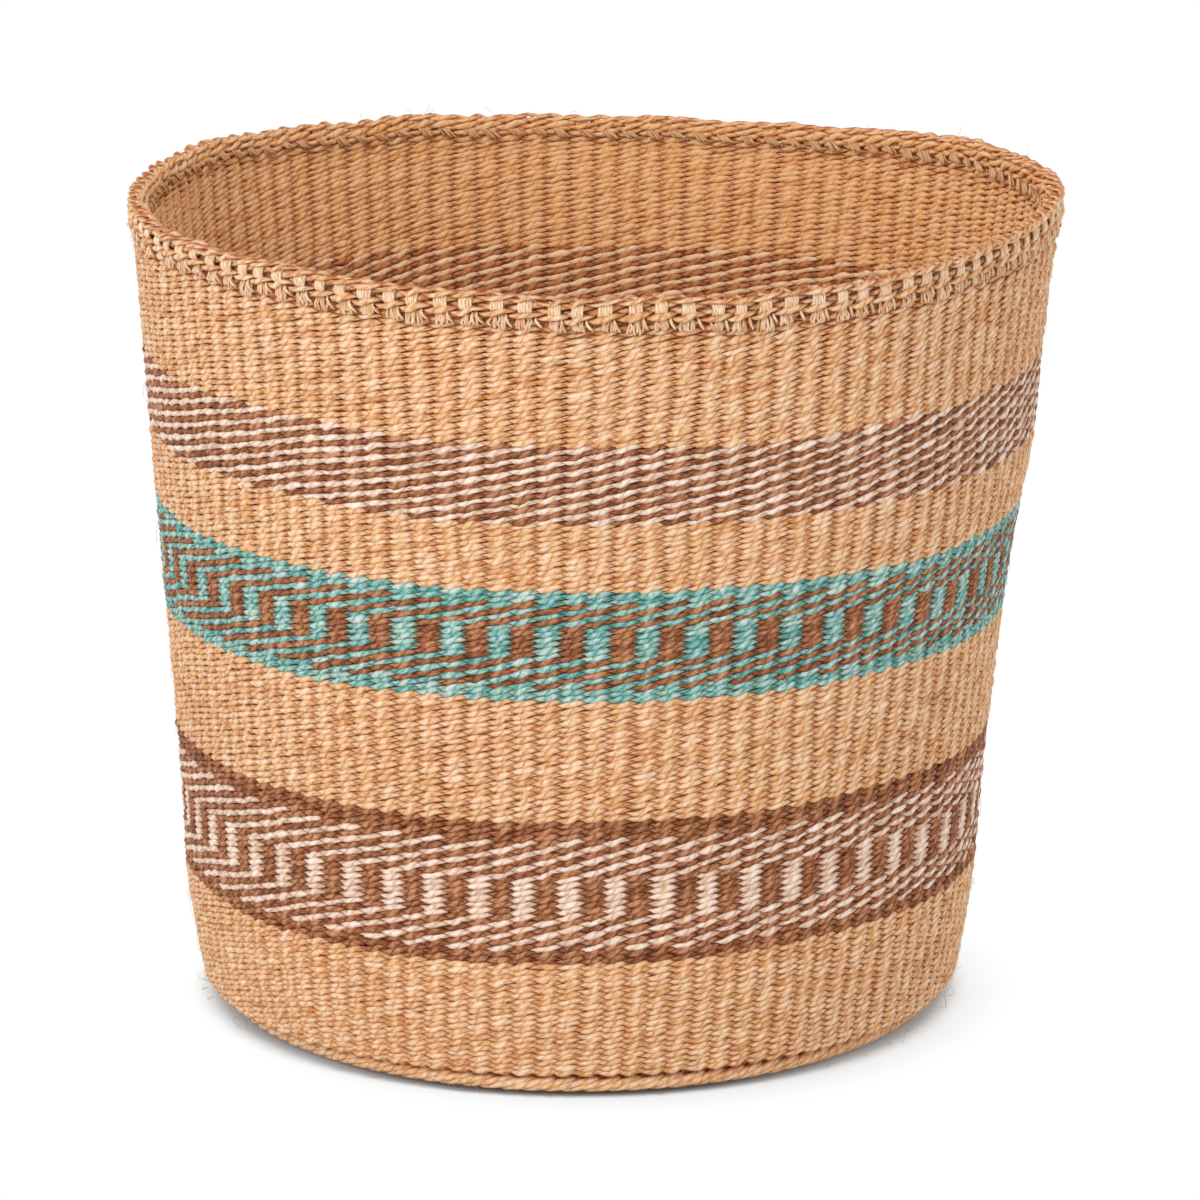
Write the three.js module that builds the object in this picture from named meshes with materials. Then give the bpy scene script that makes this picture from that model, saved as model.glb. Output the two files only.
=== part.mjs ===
// A tall round basket twined from sisal yarn, standing on its base, mouth up.
// Millimetres, +Z up. The origin is the middle of the footprint on the floor.
//
// Upright warp cords run from a start knot in the base, round the heel, up the wall and
// over at the rim. Pairs of weft yarn are twined round them row by row, so the wall is a
// stack of colour bands with one vertical rib for each warp.

import * as THREE from 'three';

// Weave
const warpCount = 112;          // warps in the wall, one rib each
const wallThickness = 6.2;      // outer crest of a rib to the inside of the wall
const ribDepth = 1.1;           // crest of a rib to the valley beside it
const clearance = 0.3;          // gap between pieces that lie on each other

// Rows of each colour band, counted up from the heel
const rowsLowerTan = 20;
const rowsBrownBorderUnder = 2;
const rowsCreamCheck = 18;
const rowsBrownBorderOver = 3;
const rowsMiddleTan = 20;
const rowsTealBorderUnder = 2;
const rowsTealCheck = 15;
const rowsTealBorderOver = 2;
const rowsUpperTan = 12;
const rowsDiagonal = 14;
const rowsTopTan = 19;

// Wall
const weaveHeight = 312.3;      // first row to last row, between heel and rim
const footRadius = 157.5;       // outer radius of the first row above the heel
const mouthRadius = 187;        // outer radius of the last row under the rim

// Heel and base
const heelCordDiameter = 7.2;
const heelCordInset = 3.5;      // how far the heel cord stands in from the first row
const heelLift = 0.8;           // floor to the underside of the heel cord, where the base turns under
const baseThickness = 6;
const baseRise = 2;             // how far the middle of the base is drawn up off the floor
const innerRoundsRadius = 95;
const startKnotRadius = 14;
const startKnotCrownRadius = 9.5;
const startKnotHeight = 7;

// Rim, from the weave up
const trimmedEndsHeight = 5.2;
const trimmedEndsProud = 1.5;   // how far the cut warp ends stand out of the wall
const trimmedEndsDepth = 2.2;   // depth of the notch between two cut ends
const lowerCordHeight = 2.8;
const lowerCordWidth = 8.4;
const foldHeight = 2.8;
const foldDepth = 2.4;          // depth of the notch between two folded warps
const lipFlare = 3.6;           // how far the folds and the top cord lean out
const topStrandWidth = 2.9;
const topStrandHeight = 2.0;

// Facets
const ringSegments = 32;
const knotSegments = 16;
const heelCordSides = 8;
const strandStepsPerTurn = 4;
const strandSides = 4;

const sisalTan = new THREE.MeshStandardMaterial({ color: 0xdba56b, roughness: 0.9, metalness: 0 });
const sisalPale = new THREE.MeshStandardMaterial({ color: 0xe9c79c, roughness: 0.9, metalness: 0 });
const sisalHeel = new THREE.MeshStandardMaterial({ color: 0xd09a68, roughness: 0.9, metalness: 0 });
const sisalBrown = new THREE.MeshStandardMaterial({ color: 0x93613f, roughness: 0.9, metalness: 0 });
const sisalTeal = new THREE.MeshStandardMaterial({ color: 0x67b5aa, roughness: 0.9, metalness: 0 });
const brownAndCream = new THREE.MeshStandardMaterial({ color: 0xb08c70, roughness: 0.9, metalness: 0 });
const tealAndBrown = new THREE.MeshStandardMaterial({ color: 0x7c8b75, roughness: 0.9, metalness: 0 });

const basket = new THREE.Group();

function addPiece(name, geometry, material) {
  const mesh = new THREE.Mesh(geometry, material);
  mesh.name = name;
  basket.add(mesh);
}

// One closed loop round the axis. radiusOf and heightOf give each point's place by its number.
function loopOf(count, radiusOf, heightOf) {
  const loop = [];
  for (let i = 0; i < count; i += 1) {
    const angle = (2 * Math.PI * i) / count;
    loop.push([radiusOf(i) * Math.cos(angle), radiusOf(i) * Math.sin(angle), heightOf(i)]);
  }
  return loop;
}

function plainLoop(radius, height) {
  return loopOf(ringSegments, () => radius, () => height);
}

// Crest, valley, crest, valley: one crest for each warp.
function ribbedLoop(crestRadius, depth, height) {
  return loopOf(2 * warpCount, (i) => (i % 2 === 0 ? crestRadius : crestRadius - depth), () => height);
}

// Lofts a ring through loops that go round its section, from outside bottom to outside top,
// over to the inside and back. Neighbouring loops may have different numbers of points.
function ringThrough(loops) {
  const positions = [];
  const starts = [];
  const faces = [];
  for (const loop of loops) {
    starts.push(positions.length / 3);
    for (const point of loop) {
      positions.push(...point);
    }
  }
  loops.forEach((loop, number) => {
    const nextNumber = (number + 1) % loops.length;
    const next = loops[nextNumber];
    const here = starts[number];
    const there = starts[nextNumber];
    let i = 0;
    let j = 0;
    while (i < loop.length || j < next.length) {
      const corner = here + (i % loop.length);
      const opposite = there + (j % next.length);
      if ((i + 1) / loop.length <= (j + 1) / next.length) {
        faces.push(corner, here + ((i + 1) % loop.length), opposite);
        i += 1;
      } else {
        faces.push(corner, there + ((j + 1) % next.length), opposite);
        j += 1;
      }
    }
  });
  const geometry = new THREE.BufferGeometry();
  geometry.setAttribute('position', new THREE.Float32BufferAttribute(positions, 3));
  geometry.setIndex(faces);
  geometry.computeVertexNormals();
  return geometry;
}

// The heel cord runs round the foot, between the base and the first row of the wall.
const heelCordRadius = heelCordDiameter / 2;
const heelRadius = footRadius - heelCordInset - heelCordRadius;
const heelCordMiddle = heelLift + heelCordRadius;
const weaveBottom = heelCordMiddle + heelCordRadius + clearance;

const bandPlan = [
  ['lower_tan_band', rowsLowerTan, sisalTan, true],
  ['brown_border_under', rowsBrownBorderUnder, sisalBrown, false],
  ['cream_check_band', rowsCreamCheck, brownAndCream, true],
  ['brown_border_over', rowsBrownBorderOver, sisalBrown, false],
  ['middle_tan_band', rowsMiddleTan, sisalTan, true],
  ['teal_border_under', rowsTealBorderUnder, sisalTeal, false],
  ['teal_check_band', rowsTealCheck, tealAndBrown, true],
  ['teal_border_over', rowsTealBorderOver, sisalTeal, false],
  ['upper_tan_band', rowsUpperTan, sisalTan, true],
  ['diagonal_band', rowsDiagonal, brownAndCream, true],
  ['top_tan_band', rowsTopTan, sisalTan, true],
];
const rowsInWall = bandPlan.reduce((sum, band) => sum + band[1], 0);
const rowPitch = weaveHeight / rowsInWall;
const weaveTop = weaveBottom + weaveHeight;

function wallRadius(height) {
  const share = (height - weaveBottom) / weaveHeight;
  return footRadius + (mouthRadius - footRadius) * share;
}

// A colour band of the wall. The short borders are drawn at the middle of the ribs' depth.
function wallBand(bottom, top, isRibbed) {
  const inner = wallThickness;
  const outside = (height) => (isRibbed
    ? ribbedLoop(wallRadius(height), ribDepth, height)
    : plainLoop(wallRadius(height) - ribDepth / 2, height));
  return ringThrough([
    outside(bottom),
    outside(top),
    plainLoop(wallRadius(top) - inner, top),
    plainLoop(wallRadius(bottom) - inner, bottom),
  ]);
}

function buildWall() {
  let bottom = weaveBottom;
  for (const [name, rows, material, isRibbed] of bandPlan) {
    const top = bottom + rows * rowPitch;
    addPiece(name, wallBand(bottom, top - clearance, isRibbed), material);
    bottom = top;
  }
}

// The flats of the cord's section lie at its radius, the upper one level under the wall.
function buildHeel() {
  const cornerRadius = heelCordRadius / Math.cos(Math.PI / heelCordSides);
  const loops = [];
  for (let side = 0; side < heelCordSides; side += 1) {
    const angle = (2 * Math.PI * (side + 0.5)) / heelCordSides - Math.PI / 2;
    loops.push(plainLoop(
      heelRadius + cornerRadius * Math.cos(angle),
      heelCordMiddle + cornerRadius * Math.sin(angle),
    ));
  }
  addPiece('heel_cord', ringThrough(loops), sisalHeel);
}

// The base lies flat on the floor near the heel and is drawn up a little towards its middle.
function buildBase() {
  const outer = heelRadius - heelCordRadius - clearance;
  addPiece('base_outer_rounds', ringThrough([
    plainLoop(outer, 0),
    plainLoop(outer, baseThickness),
    plainLoop(innerRoundsRadius, baseThickness),
    plainLoop(innerRoundsRadius, 0),
  ]), sisalTan);
  addPiece('base_inner_rounds', ringThrough([
    plainLoop(innerRoundsRadius - clearance, clearance),
    plainLoop(innerRoundsRadius - clearance, baseThickness),
    plainLoop(startKnotRadius, baseThickness + baseRise),
    plainLoop(startKnotRadius, baseRise),
  ]), sisalTan);

  const knotRadius = startKnotRadius - clearance;
  const knotProfile = [
    new THREE.Vector2(0, baseRise),
    new THREE.Vector2(knotRadius, baseRise),
    new THREE.Vector2(knotRadius, baseRise + baseThickness),
    new THREE.Vector2(startKnotCrownRadius, baseRise + startKnotHeight),
    new THREE.Vector2(0, baseRise + startKnotHeight),
  ];
  const knot = new THREE.LatheGeometry(knotProfile, knotSegments);
  knot.rotateX(Math.PI / 2);
  addPiece('base_start_knot', knot, sisalPale);
}

// The top cord: two strands that go once round each other for every two warps. Each winds at
// the distance that leaves the clearance between them where they cross.
const crossingShare = Math.cos(Math.PI / strandStepsPerTurn);
const twistWidth = (topStrandWidth + clearance) / 2 / crossingShare;
const twistHeight = (topStrandHeight + clearance) / 2 / crossingShare;

function topStrand(phase, middleRadius, middleHeight) {
  const steps = (warpCount / 2) * strandStepsPerTurn;
  const windAt = (step) => (2 * Math.PI * step + Math.PI) / strandStepsPerTurn + phase;
  const loops = [];
  for (let side = 0; side < strandSides; side += 1) {
    const angle = (2 * Math.PI * side) / strandSides;
    const sideRadius = middleRadius + (topStrandWidth / 2) * Math.cos(angle);
    const sideHeight = middleHeight + (topStrandHeight / 2) * Math.sin(angle);
    loops.push(loopOf(
      steps,
      (i) => sideRadius + twistWidth * Math.cos(windAt(i)),
      (i) => sideHeight + twistHeight * Math.sin(windAt(i)),
    ));
  }
  return ringThrough(loops);
}

function buildRim() {
  const rimRadius = mouthRadius;
  const innerRadius = mouthRadius - wallThickness;

  // Cut ends of the warps, turned down outside the wall, with notches between them that close
  // up towards the cord
  const endsBottom = weaveTop;
  const endsTop = endsBottom + trimmedEndsHeight;
  addPiece('rim_trimmed_ends', ringThrough([
    ribbedLoop(rimRadius + trimmedEndsProud, trimmedEndsDepth, endsBottom),
    plainLoop(rimRadius + trimmedEndsProud, endsTop),
    plainLoop(innerRadius, endsTop),
    plainLoop(innerRadius, endsBottom),
  ]), sisalTan);

  // The twined row that holds them down
  const cordBottom = endsTop + clearance;
  const cordTop = cordBottom + lowerCordHeight;
  const cordMiddle = (cordBottom + cordTop) / 2;
  const cordRadius = rimRadius + trimmedEndsProud - lowerCordWidth / 2;
  const cordShoulder = lowerCordWidth / 2 - lowerCordHeight / 4;
  addPiece('rim_lower_cord', ringThrough([
    plainLoop(cordRadius + cordShoulder, cordBottom),
    plainLoop(cordRadius + lowerCordWidth / 2, cordMiddle),
    plainLoop(cordRadius + cordShoulder, cordTop),
    plainLoop(cordRadius - cordShoulder, cordTop),
    plainLoop(cordRadius - lowerCordWidth / 2, cordMiddle),
    plainLoop(cordRadius - cordShoulder, cordBottom),
  ]), sisalTan);

  // The warps folded over, with a gap between each two
  const foldBottom = cordTop + clearance;
  const foldTop = foldBottom + foldHeight;
  addPiece('rim_warp_folds', ringThrough([
    ribbedLoop(rimRadius + lipFlare / 2, foldDepth, foldBottom),
    ribbedLoop(rimRadius + lipFlare, foldDepth, foldTop),
    plainLoop(innerRadius + lipFlare, foldTop),
    plainLoop(innerRadius + lipFlare / 2, foldBottom),
  ]), sisalPale);

  // The top edge: two strands twisted round each other
  const strandReach = twistHeight * Math.sin(Math.PI / strandStepsPerTurn) + topStrandHeight / 2;
  const topRadius = (rimRadius + innerRadius) / 2 + lipFlare;
  const topMiddle = foldTop + clearance + strandReach;
  addPiece('rim_top_strand_a', topStrand(0, topRadius, topMiddle), sisalTan);
  addPiece('rim_top_strand_b', topStrand(Math.PI, topRadius, topMiddle), sisalPale);
}

buildBase();
buildHeel();
buildWall();
buildRim();

export default basket;
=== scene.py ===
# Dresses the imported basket. Every yarn of the base, heel, wall and rim is its own closed tube,
# twined round 112 warps as on the real basket, with the unevenness of hand work.
# Lengths are millimetres until a mesh is made. A place round the basket is counted in warps,
# 0 to 112: warp 56 is at the front, and the count rises to the right as seen from outside.
import math

import bpy
import numpy as np
from mathutils import Matrix, Vector


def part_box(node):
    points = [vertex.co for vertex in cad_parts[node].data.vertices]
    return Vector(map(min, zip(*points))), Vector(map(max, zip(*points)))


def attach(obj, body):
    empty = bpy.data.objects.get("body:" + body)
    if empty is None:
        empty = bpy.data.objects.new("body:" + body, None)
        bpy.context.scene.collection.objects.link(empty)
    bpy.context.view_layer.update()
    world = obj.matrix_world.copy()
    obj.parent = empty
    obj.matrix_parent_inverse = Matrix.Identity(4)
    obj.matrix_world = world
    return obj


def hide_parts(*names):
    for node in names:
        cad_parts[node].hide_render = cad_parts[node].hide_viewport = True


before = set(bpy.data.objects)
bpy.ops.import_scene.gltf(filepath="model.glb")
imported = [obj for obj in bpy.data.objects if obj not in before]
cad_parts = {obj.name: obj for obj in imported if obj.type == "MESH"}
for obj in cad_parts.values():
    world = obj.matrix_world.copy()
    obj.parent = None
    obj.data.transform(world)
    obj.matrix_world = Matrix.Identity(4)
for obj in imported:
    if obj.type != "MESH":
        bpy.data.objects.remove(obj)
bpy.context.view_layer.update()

MM = 0.001
random = np.random.default_rng(7)

# Camera, at the photograph's viewing angle
CAMERA_DISTANCE = 3000
CAMERA_ELEVATION = math.radians(14.53)
CAMERA_AIM_HEIGHT = 170
CAMERA_RIGHT = 7.35             # how far it stands to the right of the basket's middle
CAMERA_DOWN = 7.2
FOCAL_LENGTH = 219
SENSOR_WIDTH = 36

# Weave
WARPS = 112
FRONT_WARP = 56
FRONT_WARP_ANGLE = -0.029       # how far warp 56 stands round from the front
WALL_THICKNESS = 6.2
STEPS_PER_WARP = 6
YARN_SIDES = 6
YARN_HALF_DEPTH = 1.2
YARN_SLANT = 0.6                # at the foot, a float rises twice this from its left end to its right end
YARN_SLANT_GAIN = 0.35          # how much more that is at the mouth
FLOAT_CURL = 0.24               # its left half hangs below that line, and its right half stands above it
FLOAT_SQUARENESS = 0.38         # under 1, a float stays outside for longer before it dives
CROSSING_OUT = 0.15             # how far outside the wall's middle the two yarns cross
CROSSING_DEPTH = 1.25           # how much deeper the pinched yarn is there, which fills the wall
PINCHED_HALF_HEIGHT = 0.55      # half the yarn's height where it dives between two warps
FLOAT_SWELL = 1.12              # how much more it has in the middle of a float, so that rows press
FLOAT_FULLNESS = 0.7            # under 1, a float keeps its height for longer towards its ends

# Bands from the heel up: node, rows, slot of the first yarn, slot of the second yarn
BANDS = [
    ("lower_tan_band", 20, "sisal_tan", "sisal_tan"),
    ("brown_border_under", 2, "sisal_brown", "sisal_brown"),
    ("cream_check_band", 18, "sisal_brown", "sisal_cream"),
    ("brown_border_over", 3, "sisal_brown", "sisal_brown"),
    ("middle_tan_band", 20, "sisal_tan", "sisal_tan"),
    ("teal_border_under", 2, "sisal_teal", "sisal_teal"),
    ("teal_check_band", 15, "sisal_brown", "sisal_teal"),
    ("teal_border_over", 2, "sisal_teal", "sisal_teal"),
    ("upper_tan_band", 12, "sisal_tan", "sisal_tan"),
    ("diagonal_band", 14, "sisal_brown", "sisal_cream"),
    ("top_tan_band", 19, "sisal_tan", "sisal_tan"),
]
ROWS_IN_WALL = sum(band[1] for band in BANDS)


def add_object(name, data):
    thing = bpy.data.objects.new(name, data)
    bpy.context.scene.collection.objects.link(thing)
    return thing


def add_camera():
    data = bpy.data.cameras.new("camera")
    data.lens = FOCAL_LENGTH
    data.sensor_width = SENSOR_WIDTH
    camera = add_object("camera", data)
    right = Vector((1, 0, 0))
    up = Vector((0, math.sin(CAMERA_ELEVATION), math.cos(CAMERA_ELEVATION)))
    back = Vector((0, -math.cos(CAMERA_ELEVATION), math.sin(CAMERA_ELEVATION)))
    aim = Vector((0, 0, CAMERA_AIM_HEIGHT)) + CAMERA_RIGHT * right - CAMERA_DOWN * up
    turn = Matrix((right, up, back)).transposed().to_4x4()
    camera.matrix_world = Matrix.Translation((aim + CAMERA_DISTANCE * back) * MM) @ turn
    bpy.context.scene.camera = camera


add_camera()


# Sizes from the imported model
boxes = {node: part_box(node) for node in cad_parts}


def lowest(node):
    return boxes[node][0].z / MM


def highest(node):
    return boxes[node][1].z / MM


def reach(node):
    return boxes[node][1].x / MM


WEAVE_BOTTOM = lowest("lower_tan_band")
WEAVE_TOP = lowest("rim_trimmed_ends")
ROW_PITCH = (WEAVE_TOP - WEAVE_BOTTOM) / ROWS_IN_WALL
WALL_SLOPE = ((reach("top_tan_band") - reach("lower_tan_band"))
              / (highest("top_tan_band") - highest("lower_tan_band")))
BASKET_HEIGHT = highest("rim_top_strand_a")


def wall_radius(height):
    return reach("lower_tan_band") + WALL_SLOPE * (height - highest("lower_tan_band"))


# Unevenness of hand work

def gentle_waves(size, lobes, tallness, count=9):
    """A smooth function of angle and height, about size high, that closes round the basket."""
    lobe_counts = random.integers(lobes[0], lobes[1] + 1, count)
    climbs = random.uniform(-2 * math.pi, 2 * math.pi, count) / tallness
    phases = random.uniform(0, 2 * math.pi, count)

    def value(angle, height):
        total = 0
        for lobe_count, climb, phase in zip(lobe_counts, climbs, phases):
            total = total + np.sin(lobe_count * angle + climb * height + phase)
        return total * size * math.sqrt(2 / count)

    return value


wall_bulge = gentle_waves(size=0.55, lobes=(2, 7), tallness=220)
row_wander = gentle_waves(size=0.28, lobes=(3, 16), tallness=120)
rim_ripple = gentle_waves(size=0.35, lobes=(9, 26), tallness=400)

DRIFT_LEVEL = 30                # height over which a rib's place drifts
DRIFT = 0.085                   # in warps
drift_table = random.normal(0, DRIFT, (math.ceil(BASKET_HEIGHT / DRIFT_LEVEL) + 2, WARPS))


def rib_drift(warp, height):
    """How far a rib stands to the side of its even place, in warps."""
    warp, height = np.broadcast_arrays(warp, height)
    column = np.floor(warp).astype(int)
    across = warp - column
    level = np.clip(height / DRIFT_LEVEL, 0, len(drift_table) - 1.001)
    row = np.floor(level).astype(int)
    up = level - row

    def drift(rib):
        return drift_table[row, rib % WARPS] * (1 - up) + drift_table[row + 1, rib % WARPS] * up

    return drift(column) * (1 - across) + drift(column + 1) * across


def warp_angle(warp, height):
    even = warp - FRONT_WARP + rib_drift(warp, height)
    return even * 2 * math.pi / WARPS + FRONT_WARP_ANGLE


# Whole basket: it leans, its rows run up to one side and dip in front, and its rim waves a little
LEAN_AT_FOOT = -1.0
LEAN_AT_MOUTH = 4.9
RIGHT_BULGE = 2.1               # the wall stands out on the right, above its middle
RIGHT_BULGE_HEIGHT = 232
RIGHT_BULGE_SPREAD = 32
BELLY = 1.5                     # the wall rounds out above the heel
BELLY_HEIGHT = 50
BELLY_SPREAD = 30
HEEL_TUCK = 3.0                 # and it is drawn in towards the floor
HEEL_TUCK_HEIGHT = 12
ROW_SHIFT = 3.1                 # rows stand higher than even ones halfway up, and lower at the top
ROW_SHIFT_SWING = 1.225 * math.pi
SIDE_RISE = 2.7                 # rows are higher on the right side, low in the wall
SIDE_RISE_LOW = 57
SIDE_RISE_END = 188             # and lower above this height
FRONT_DIP = 3.4                 # rows dip in front, least so halfway up
MOUTH_SETTLE = 1.3
MOUTH_WAVES = [                 # waves round the mouth, and the heights of their cosine and sine
    (1, -0.3, 0),
    (2, -3.3, 0),
    (3, 0.8, -1.5),
]


def placed(angle, height, radius):
    """Points of the finished basket, from their places on an even one."""
    share = np.clip(height / BASKET_HEIGHT, 0, 1)
    near_wall = np.clip(radius / wall_radius(0), 0, 1) ** 4
    low = np.clip(height / SIDE_RISE_LOW, 0, 1)
    under_rim = low * (1 - share ** 12)
    side = SIDE_RISE * (SIDE_RISE_END - height) / (SIDE_RISE_END - SIDE_RISE_LOW) * under_rim
    dip = FRONT_DIP * np.abs(np.cos(math.pi * share)) ** 1.5 * under_rim
    shift = ROW_SHIFT * np.sin(ROW_SHIFT_SWING * share)
    mouth = rim_ripple(angle, height) - MOUTH_SETTLE
    for count, cosine, sine in MOUTH_WAVES:
        mouth = mouth + cosine * np.cos(count * angle) + sine * np.sin(count * angle)
    lift = (shift + side * np.sin(angle) - dip * np.cos(angle) + row_wander(angle, height) * low
            + mouth * share ** 5)
    belly = BELLY * np.exp(-((height - BELLY_HEIGHT) / BELLY_SPREAD) ** 2)
    tuck = HEEL_TUCK * np.exp(-height / HEEL_TUCK_HEIGHT)
    aside = np.exp(-((height - RIGHT_BULGE_HEIGHT) / RIGHT_BULGE_SPREAD) ** 2)
    aside = RIGHT_BULGE * aside * np.clip(np.sin(angle), 0, 1)
    out = radius + (belly - tuck + aside + wall_bulge(angle, height) * low) * near_wall
    lean = LEAN_AT_FOOT + (LEAN_AT_MOUTH - LEAN_AT_FOOT) * share
    return np.stack([out * np.sin(angle) + lean, -out * np.cos(angle), height + lift * near_wall], axis=-1)


# Meshes

def unit(vectors):
    return vectors / np.linalg.norm(vectors, axis=-1, keepdims=True)


def tube_points(centres, half_depth, half_height, upward, sides, is_closed):
    """Rings of points round each strand. The half depth lies across the strand and upward."""
    ahead = np.roll(centres, -1, axis=1)
    behind = np.roll(centres, 1, axis=1)
    if not is_closed:
        ahead[:, -1] = centres[:, -1]
        behind[:, 0] = centres[:, 0]
    along = unit(ahead - behind)
    outward = unit(np.cross(along, upward))
    top = np.cross(outward, along)
    turns = np.arange(sides) * 2 * math.pi / sides
    depth = np.broadcast_to(half_depth, centres.shape[:2])[..., None, None]
    tall = np.broadcast_to(half_height, centres.shape[:2])[..., None, None]
    return (centres[:, :, None] + outward[:, :, None] * depth * np.cos(turns)[:, None]
            + top[:, :, None] * tall * np.sin(turns)[:, None])


def tube_faces(strands, steps, sides, is_closed):
    """Quads of the tubes, and for each corner how many steps along and sides round it is."""
    spans = steps if is_closed else steps - 1
    strand, step, side = np.meshgrid(np.arange(strands), np.arange(spans), np.arange(sides), indexing="ij")
    step_of_corner = np.stack([step, step + 1, step + 1, step], axis=-1)
    side_of_corner = np.stack([side, side, side + 1, side + 1], axis=-1)
    corners = (strand[..., None] * steps + step_of_corner % steps) * sides + side_of_corner % sides
    return corners, step_of_corner, side_of_corner


def cap_faces(strands, steps, sides):
    first = np.arange(strands)[:, None] * steps * sides + np.arange(sides)
    last = first + (steps - 1) * sides
    return np.concatenate([first, last[:, ::-1]])


def along_wall(strands_per_warp=1, height=BASKET_HEIGHT):
    """For strands listed warp by warp, the level directions that turn their half depth outward."""
    angle = np.repeat(warp_angle(np.arange(WARPS), height), strands_per_warp)
    return np.stack([np.cos(angle), np.sin(angle), 0 * angle], axis=-1)[:, None]


def add_point_values(mesh, name, values, strands, steps, sides):
    """Keeps one number for each step of each strand, for the materials to read."""
    spread = np.repeat(np.broadcast_to(values, (strands, steps)).reshape(-1), sides)
    mesh.attributes.new(name, "FLOAT", "POINT").data.foreach_set("value", spread.astype(np.float32))


def yarns(name, slot, centres, half_depth, half_height, upward=(0, 0, 1), sides=YARN_SIDES,
          is_closed=True, shade=0, hollow=0):
    """One object with a tube for each strand. centres has a row of points for each strand."""
    strands, steps = centres.shape[:2]
    points = tube_points(centres, half_depth, half_height, np.asarray(upward, float), sides, is_closed)
    quads, step_of_corner, side_of_corner = tube_faces(strands, steps, sides, is_closed)
    start = random.uniform(0, 1000, strands)[:, None, None, None]
    step_length = np.linalg.norm(np.diff(centres, axis=1), axis=-1).mean()
    uv = np.stack([start + step_of_corner * step_length, side_of_corner / sides], axis=-1).reshape(-1, 2)
    corners = quads.reshape(-1)
    starts = np.arange(len(corners) // 4) * 4
    if not is_closed:
        caps = cap_faces(strands, steps, sides)
        starts = np.concatenate([starts, len(corners) + np.arange(len(caps)) * sides])
        corners = np.concatenate([corners, caps.reshape(-1)])
        uv = np.concatenate([uv, np.zeros((caps.size, 2))])
    mesh = bpy.data.meshes.new(name)
    mesh.vertices.add(points.size // 3)
    mesh.vertices.foreach_set("co", (points * MM).reshape(-1))
    mesh.loops.add(len(corners))
    mesh.loops.foreach_set("vertex_index", corners.astype(np.int32))
    mesh.polygons.add(len(starts))
    mesh.polygons.foreach_set("loop_start", starts.astype(np.int32))
    mesh.update(calc_edges=True)
    mesh.shade_smooth()
    mesh.uv_layers.new(name="yarn").data.foreach_set("uv", uv.reshape(-1))
    add_point_values(mesh, "shade", shade, strands, steps, sides)
    # The materials paint shade by the hollow value: the more of it, the darker a place is
    add_point_values(mesh, "hollow", hollow, strands, steps, sides)
    piece = add_object(name, mesh)
    mesh.materials.append(material_of[slot])
    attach(piece, "root")
    return piece


# Materials

class Nodes:
    """Short names for the nodes of a material or world."""

    def __init__(self, owner):
        owner.use_nodes = True
        self.owner = owner
        self.tree = owner.node_tree
        self.surface = self.tree.nodes.get("Principled BSDF")

    def add(self, kind, **settings):
        node = self.tree.nodes.new(kind)
        for setting, value in settings.items():
            setattr(node, setting, value)
        return node

    def feed(self, node, values):
        """Gives inputs, by name or place, a number, a colour or another node's output."""
        for socket, value in values.items():
            if isinstance(value, (int, float, tuple)):
                node.inputs[socket].default_value = value
            else:
                self.tree.links.new(value, node.inputs[socket])
        return node.outputs

    def math(self, operation, first, second=0.0):
        return self.feed(self.add("ShaderNodeMath", operation=operation), {0: first, 1: second})[0]

    def times(self, first, second):
        return self.math("MULTIPLY", first, second)

    def total(self, *parts):
        total = parts[0]
        for part in parts[1:]:
            total = self.math("ADD", total, part)
        return total

    def vector(self, x, y, z):
        return self.feed(self.add("ShaderNodeCombineXYZ"), {"X": x, "Y": y, "Z": z})["Vector"]

    def noise(self, place, scale, detail):
        values = {"Vector": place, "Scale": scale, "Detail": detail}
        return self.feed(self.add("ShaderNodeTexNoise"), values)["Fac"]

    def ramp(self, value, stops):
        node = self.add("ShaderNodeValToRGB")
        stops_of_node = node.color_ramp.elements
        while len(stops_of_node) < len(stops):
            stops_of_node.new(0.5)
        for stop, (position, colour) in zip(stops_of_node, stops):
            stop.position = position
            stop.color = (*[linear(channel) for channel in colour], 1)
        return self.feed(node, {"Fac": value})["Color"]

    def split(self, vector):
        return self.feed(self.add("ShaderNodeSeparateXYZ"), {"Vector": vector})

    def kept(self, name):
        """The number that the mesh keeps under this name."""
        node = self.add("ShaderNodeAttribute", attribute_name=name, attribute_type="GEOMETRY")
        return node.outputs["Fac"]

    def mix(self, blend, share, first, second):
        node = self.add("ShaderNodeMix", data_type="RGBA", blend_type=blend)
        return self.feed(node, {"Factor": share, "A": first, "B": second})["Result"]


def linear(channel):
    """A colour channel of 0 to 255, as it shows on a screen, as the linear value that Blender takes."""
    share = channel / 255
    return share / 12.92 if share <= 0.04045 else ((share + 0.055) / 1.055) ** 2.4


PLY_TWIST = -0.6                # radians round the yarn for each millimetre along it
FIBRE_TWIST = -0.25             # the fibres of a ply lie nearly along the yarn
FIBRES_ROUND = 2.0
FIBRE_STRETCH = 0.3
FIBRE_DETAIL = 5.0
BLOTCH_SCALE = 0.12
BLOTCH_WIDTH = 0.3
BLOTCH_DETAIL = 3.0
BLOTCH_PUSH = 3.0               # how far a blotch pushes the plies round the yarn, in radians
PLY_ROUNDNESS = 0.6             # under 1, the groove between the plies is narrower, and so is the painted shade in it
HUE_SCALE = 0.31
HUE_WIDTH = 0.5
HUE_DETAIL = 2.0
HUE_PATCHES = [(0.3, (255, 246, 220)), (0.5, (255, 255, 255)), (0.7, (255, 244, 246))]
BUMP_DEPTH = 0.45
BUMP_STRENGTH = 0.8
PLY_BUMP = 0.6
ROUGHNESS = 0.7
GLOSS = 0.3
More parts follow.
